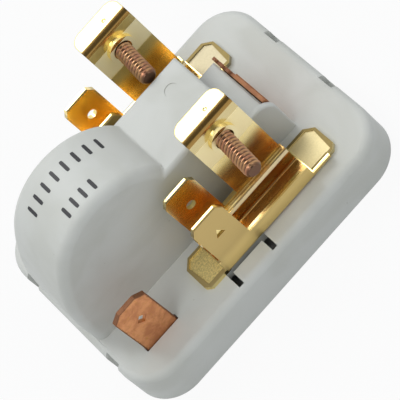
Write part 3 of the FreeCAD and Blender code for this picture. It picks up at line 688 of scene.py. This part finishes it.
# Screw plating: bronze-tinted steel, with painted shade in the thread's roots
screwPlating = {
    "colour": (0.47, 0.27, 0.13),
    "tint": (0.41, 0.19, 0.11),
    # painted shade in the thread's roots
    "root": (0.09, 0.05, 0.035),
    "rootShadeAmount": 0.85,
    "rootMargin": 0.06,
    "cloud": (0.8, 4.0, (1, 1, 1), 0.6),
    "cloudEdges": (0.40, 0.65),
    "cloudDulls": 0.12,
    "grain": (9.0, 2.0),
    "depth": 0.006,
    "roughness": 0.24,
}
# The clamp screws, in millimetres, with their lean in degrees and the ridge's profile in shares
# of its pitch and its rise. Their threads are cut here: the node has a plain shank. A vertex
# near the crest's radius belongs to that shank, which is inset a little below the root.
clampScrews = {
    "pitch": 0.7,
    "crest": 1.5,
    "root": 1.17,
    "endRadius": 1.05,
    "stepsPerTurn": 28,
    "near": 0.02,
    "inset": 0.02,
    "merge": 0.004,
    "profile": [(0.0, 0.0), (0.14, 0.0), (0.44, 1.0), (0.56, 1.0), (0.86, 0.0), (1.0, 0.0)],
    "lean": 4.0,
    "length": 9.95,
    # node, a point on the axis, how far behind it the head's underside lies
    "places": [
        ("clamp_screw_front", (9.7, -11.0, 23.9), 1.10),
        ("clamp_screw_rear", (9.7, 15.15, 23.9), 1.45),
    ],
}


def screwAxis(look):
    lean = math.radians(look["lean"])
    return Vector((-math.sin(lean), -math.cos(lean), 0.0))


def makePlating(name, look, cut, pivot):
    plating = Finish(name)
    cloud = plating.noise(*look["cloud"])
    grain = plating.noise(*look["grain"])
    # the distance from the screw's axis
    pivot = [c * mm for c in pivot]
    centred = plating.add("ShaderNodeVectorMath", {"operation": "SUBTRACT"}, {0: plating.place, 1: pivot})
    around = {0: centred, 1: tuple(screwAxis(cut))}
    across = plating.add("ShaderNodeVectorMath", {"operation": "CROSS_PRODUCT"}, around)
    distance = plating.add("ShaderNodeVectorMath", {"operation": "LENGTH"}, {0: across}, output=1)
    # painted shade: darker towards the thread's roots
    rootShade = 1.0 - plating.step(distance, cut["root"] * mm, (cut["crest"] - look["rootMargin"]) * mm)
    colour = plating.blend(
        plating.step(cloud, *look["cloudEdges"]), rgb(*look["colour"]), rgb(*look["tint"]),
    )
    colour = plating.blend(rootShade * look["rootShadeAmount"], colour, rgb(*look["root"]))
    return plating.set(
        baseColor=colour,
        metallic=1.0,
        roughness=look["roughness"] + cloud * look["cloudDulls"],
        normal=plating.bump(grain, look["depth"]),
    )


# Spring steel and disc ceramic, inside the closed housing
springSteel = {
    "colour": (0.56, 0.55, 0.53),
    "streak": (7.0, 2.0, (1, 1, 0.1)),
    "streakShade": 0.8,
    "streakDulls": 0.1,
    "depth": 0.004,
    "roughness": 0.28,
}
discCeramic = {
    "colour": (0.10, 0.10, 0.105),
    "silver": (0.55, 0.55, 0.54),
    "silverEdges": (0.8, 0.95),
    "silverMetal": 0.6,
    "grain": (5.0, 3.0),
    "grainPolishes": 0.1,
    "depth": 0.02,
    "roughness": 0.55,
}


def makeSteel(name, look):
    steel = Finish(name)
    streak = steel.noise(*look["streak"])
    return steel.set(
        baseColor=steel.blend(streak, rgb(*look["colour"]), shaded(look["colour"], look["streakShade"])),
        metallic=1.0,
        roughness=look["roughness"] + streak * look["streakDulls"],
        normal=steel.bump(streak, look["depth"]),
    )


def makeCeramic(name, look):
    # the disc's two faces, which lie across y, are silvered
    ceramic = Finish(name)
    grain = ceramic.noise(*look["grain"])
    silvered = ceramic.step(abs(ceramic.axes(ceramic.normal)[1]), *look["silverEdges"])
    return ceramic.set(
        baseColor=ceramic.blend(silvered, rgb(*look["colour"]), rgb(*look["silver"])),
        metallic=silvered * look["silverMetal"],
        roughness=look["roughness"] - grain * look["grainPolishes"],
        normal=ceramic.bump(grain, look["depth"]),
    )


coverPlastic = {**housingPlastic, "roughness": 0.5}
clipSteel = {**springSteel, "roughness": 0.35}
screwPivots = {name: pivot for name, pivot, _ in clampScrews["places"]}
# by a part of the node's name
finishes = {
    "housing": makeHousingPlastic("housingPlastic", housingPlastic),
    "bottom_cover": makeHousingPlastic("coverPlastic", coverPlastic),
    "line_terminal_front": makeTerminalBrass("frontTerminalBrass", terminalBrass, terminalShape, 0.0),
    "line_terminal_rear": makeTerminalBrass("rearTerminalBrass", rearBrass, terminalShape, rearShift),
    "clamp_screw_front": makePlating(
        "frontScrewPlating", screwPlating, clampScrews, screwPivots["clamp_screw_front"],
    ),
    "clamp_screw_rear": makePlating(
        "rearScrewPlating", screwPlating, clampScrews, screwPivots["clamp_screw_rear"],
    ),
    "start_tab": makeCopper("startTabCopper", copperStrip, tab=startTabShape),
    "run_contact": makeCopper("runContactCopper", copperStrip, blade=runBladeShape),
    "common_link": makeCopper("commonLinkCopper", copperStrip),
    "thermistor_disc": makeCeramic("discCeramic", discCeramic),
    "contact_spring": makeSteel("springSteel", springSteel),
    "socket_clip": makeSteel("clipSteel", clipSteel),
    "spring_rivet": makeBrass("rivetBrass", brassSheet),
    "pin_socket": makeBrass("socketBrass", brassSheet),
}
cutEdges = {"line_terminal": makeCutEdge("brassCutEdge", cutEdge)}
print("materials made:", len(finishes) + len(cutEdges))


# Each node that shows gets a merged copy of its own mesh, its cut edges eased by these millimetres
easedEdges = {
    "housing": 0.0,
    "line_terminal_front": 0.11,
    "line_terminal_rear": 0.11,
    "start_tab": 0.06,
    "run_contact": 0.05,
}
# merge is in millimetres, and flat, sharp and bevelled are in degrees
meshLimits = {
    "merge": 0.002,
    "flat": 0.35,
    "sharp": 28.0,
    "bevelled": 50.0,
    "bevelSteps": 2,
    "weight": 100,
}


def finishFor(node, table=finishes):
    return next((table[key] for key in table if key in node), None)


def mergedMesh(node):
    work = bmesh.new()
    work.from_mesh(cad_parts[node].data)
    bmesh.ops.remove_doubles(work, verts=work.verts, dist=meshLimits["merge"] * mm)
    bmesh.ops.dissolve_limit(
        work, angle_limit=math.radians(meshLimits["flat"]), use_dissolve_boundaries=False,
        verts=work.verts, edges=work.edges,
    )
    return work


def standFor(node, work):
    # turns the mesh into the piece that stands for the node
    for face in work.faces:
        face.smooth = True
    mesh = bpy.data.meshes.new(node + "_eased")
    work.to_mesh(mesh)
    work.free()
    mesh.set_sharp_from_angle(angle=math.radians(meshLimits["sharp"]))
    mesh.materials.append(finishFor(node))
    edge = finishFor(node, cutEdges)
    if edge:
        mesh.materials.append(edge)
    piece = bpy.data.objects.new(node + "_eased", mesh)
    scene.collection.objects.link(piece)
    smooth = piece.modifiers.new("flatFaces", "WEIGHTED_NORMAL")
    smooth.mode = "FACE_AREA"
    smooth.weight = meshLimits["weight"]
    smooth.keep_sharp = True
    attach(piece, "root")
    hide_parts(node)
    print("eased", node, len(mesh.polygons), "faces")


def easeSheet(node, width):
    # bevels the sheet's cut edges, and gives the brass ones the finish of a cut edge
    work = mergedMesh(node)
    if width:
        limit = math.radians(meshLimits["bevelled"])
        sharp = [
            edge for edge in work.edges
            if len(edge.link_faces) == 2 and edge.calc_face_angle() > limit
        ]
        rounds = bmesh.ops.bevel(
            work, geom=sharp, offset=width * mm, offset_type="OFFSET", segments=meshLimits["bevelSteps"],
            profile=0.5, affect="EDGES", material=-1, clamp_overlap=True,
        )
        if finishFor(node, cutEdges):
            for face in rounds["faces"]:
                face.material_index = 1
    standFor(node, work)


def splitPlace(vertex, seat, axis):
    # how far a vertex lies along the screw from its seat, and how far out from the axis
    place = vertex.co / mm - seat
    along = place.dot(axis)
    return along, place - axis * along


def threadScrew(node, look, pivot, back):
    # narrows the plain shank to the thread's root and sweeps the ridge round it
    work = mergedMesh(node)
    axis = screwAxis(look)
    seat = Vector(pivot) - axis * back
    for vertex in work.verts:
        along, out = splitPlace(vertex, seat, axis)
        if along > -look["near"] and abs(out.length - look["crest"]) < look["near"]:
            out *= (look["root"] - look["inset"]) / out.length
            vertex.co = (seat + axis * along + out) * mm
    # the ridge's outline stands beside the axis and is spun forward, one pitch each turn
    outline = []
    for share, rise in look["profile"]:
        radius = look["root"] + (look["crest"] - look["root"]) * rise
        place = seat + axis * (share - 1) * look["pitch"] + Vector((0, 0, radius))
        outline.append(work.verts.new(place * mm))
    edges = [work.edges.new(pair) for pair in zip(outline, outline[1:])]
    shank = set(work.verts) - set(outline)
    steps = int((look["length"] / look["pitch"] + 1) * look["stepsPerTurn"])
    bmesh.ops.spin(
        work, geom=outline + edges, cent=seat * mm, axis=axis,
        dvec=axis * look["pitch"] / look["stepsPerTurn"] * mm,
        angle=2 * math.pi * steps / look["stepsPerTurn"], steps=steps,
        use_merge=False, use_duplicate=False,
    )
    ridge = [vertex for vertex in work.verts if vertex not in shank]
    for vertex in ridge:
        # held between the head and the tip, whose chamfer it follows
        along, out = splitPlace(vertex, seat, axis)
        along = min(max(along, 0.0), look["length"])
        out *= min(out.length, look["endRadius"] + look["length"] - along) / out.length
        vertex.co = (seat + axis * along + out) * mm
    bmesh.ops.remove_doubles(work, verts=ridge, dist=look["merge"] * mm)
    bmesh.ops.recalc_face_normals(work, faces=work.faces)
    standFor(node, work)


threaded = {name: (pivot, back) for name, pivot, back in clampScrews["places"]}
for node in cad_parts:
    if node in threaded:
        threadScrew(node, clampScrews, *threaded[node])
    elif node in easedEdges:
        easeSheet(node, easedEdges[node])
    else:
        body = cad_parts[node]
        body.data.materials.clear()
        body.data.materials.append(finishFor(node))
print("nodes dressed")


# Printed rows on the dome: plain dark bars only, laid round its curve
domePrint = {
    "axisX": -11.0,
    "axisZ": 18.7,
    "radius": 12.6,
    "proud": 0.015,
    "barWidth": 0.62,
    "cornerRadius": 0.22,
    "segments": (4, 6),
    "rows": [
        # centre y, bar height, first angle, last angle, bars
        (1.6, 2.5, 120.0, 52.0, 8),
        (-4.5, 2.4, 103.0, 77.0, 4),
    ],
}
printInk = {
    "colour": (0.018, 0.018, 0.022),
    "worn": (0.12, 0.125, 0.125),
    "wear": (3.0, 4.0, (1, 1, 1), 0.7),
    "wearEdges": (0.60, 0.72),
    "wearDulls": 0.15,
    "depth": 0.004,
    "roughness": 0.48,
}


def makeInk(name, look):
    ink = Finish(name)
    wear = ink.noise(*look["wear"])
    return ink.set(
        baseColor=ink.blend(ink.step(wear, *look["wearEdges"]), rgb(*look["colour"]), rgb(*look["worn"])),
        roughness=look["roughness"] + wear * look["wearDulls"],
        normal=ink.bump(wear, look["depth"]),
    )


def addBar(work, look, centreY, height, angle):
    # a flat grid whose corners are rounded, bent round the dome's axis
    columns, rows = look["segments"]
    radius = look["radius"] + look["proud"]
    corner = look["cornerRadius"]
    bar = bmesh.ops.create_grid(work, x_segments=columns, y_segments=rows, size=0.5)["verts"]
    bmesh.ops.scale(work, verts=bar, vec=(look["barWidth"], height, 1))
    inX = look["barWidth"] / 2 - corner
    inY = height / 2 - corner
    for vertex in bar:
        over = Vector((max(abs(vertex.co.x) - inX, 0), max(abs(vertex.co.y) - inY, 0)))
        if over.length > corner:
            over *= corner / over.length
            vertex.co.x = math.copysign(inX + over.x, vertex.co.x)
            vertex.co.y = math.copysign(inY + over.y, vertex.co.y)
        turn = angle - vertex.co.x / radius
        vertex.co = (
            look["axisX"] + radius * math.cos(turn),
            centreY + vertex.co.y,
            look["axisZ"] + radius * math.sin(turn),
        )


def printBars(look, ink):
    work = bmesh.new()
    for centreY, height, first, last, count in look["rows"]:
        for i in range(count):
            addBar(work, look, centreY, height, math.radians(first + (last - first) * i / (count - 1)))
    bmesh.ops.scale(work, verts=work.verts, vec=(mm, mm, mm))
    bmesh.ops.recalc_face_normals(work, faces=work.faces)
    mesh = bpy.data.meshes.new("dome_print")
    work.to_mesh(mesh)
    work.free()
    mesh.materials.append(makeInk("printInk", ink))
    piece = bpy.data.objects.new("dome_print", mesh)
    scene.collection.objects.link(piece)
    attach(piece, "root")
    print("dome print:", len(mesh.polygons), "faces")


printBars(domePrint, printInk)
